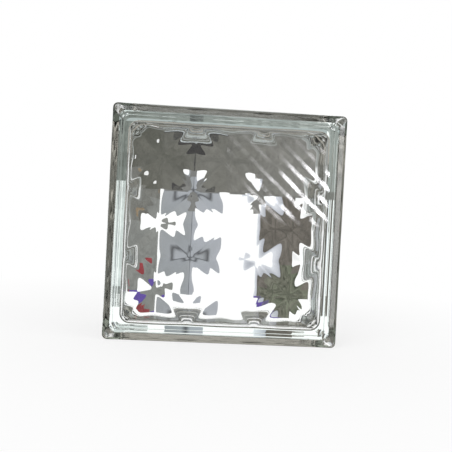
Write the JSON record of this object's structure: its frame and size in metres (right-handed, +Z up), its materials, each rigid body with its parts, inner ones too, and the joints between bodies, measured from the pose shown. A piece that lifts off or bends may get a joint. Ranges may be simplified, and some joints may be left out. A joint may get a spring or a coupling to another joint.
{
  "type": "glass block",
  "caption": "Square hollow block of clear glass for walls, pressed as half shells with diagonal dimples inside, fused rim to rim, with flanges and a mortar key.",
  "frame": {"origin": "middle of the block's bottom, where its two bottom flange lands rest", "axes": "+X across the width to the right, +Y through the depth from the front face to the back face, +Z up"},
  "size_m": [0.19, 0.08, 0.19],
  "materials": {
    "glass": "clear pressed soda-lime glass, fire polished"
  },
  "bodies": {
    "root": {"front_half": "glass", "back_half": "glass"}
  },
  "joints": []
}
